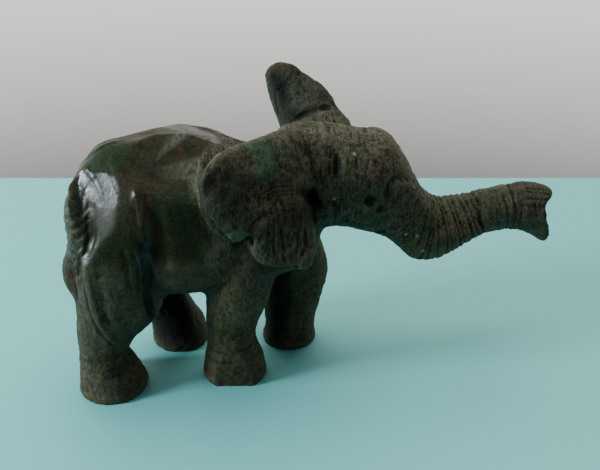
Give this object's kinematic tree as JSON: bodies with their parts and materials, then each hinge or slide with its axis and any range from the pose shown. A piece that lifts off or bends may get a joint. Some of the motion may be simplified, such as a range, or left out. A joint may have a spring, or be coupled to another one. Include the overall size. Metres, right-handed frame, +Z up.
{
  "type": "elephant carving",
  "caption": "Small polished green stone carving of a walking elephant with its trunk held out ahead, one ear laid back and one spread, standing on its own feet",
  "frame": {"origin": "on the ground under the middle of the bounding box, with the four soles at height zero", "axes": "+X is forward along the trunk, +Y is the animal's left, +Z is up"},
  "size_m": [0.1648, 0.0626, 0.0977],
  "materials": {
    "verdite": "dark olive-brown and green stone, polished on the back, rump and flanks, rasped matt on the head, trunk, ears and feet"
  },
  "bodies": {
    "root": {"elephant": "verdite"}
  },
  "joints": []
}
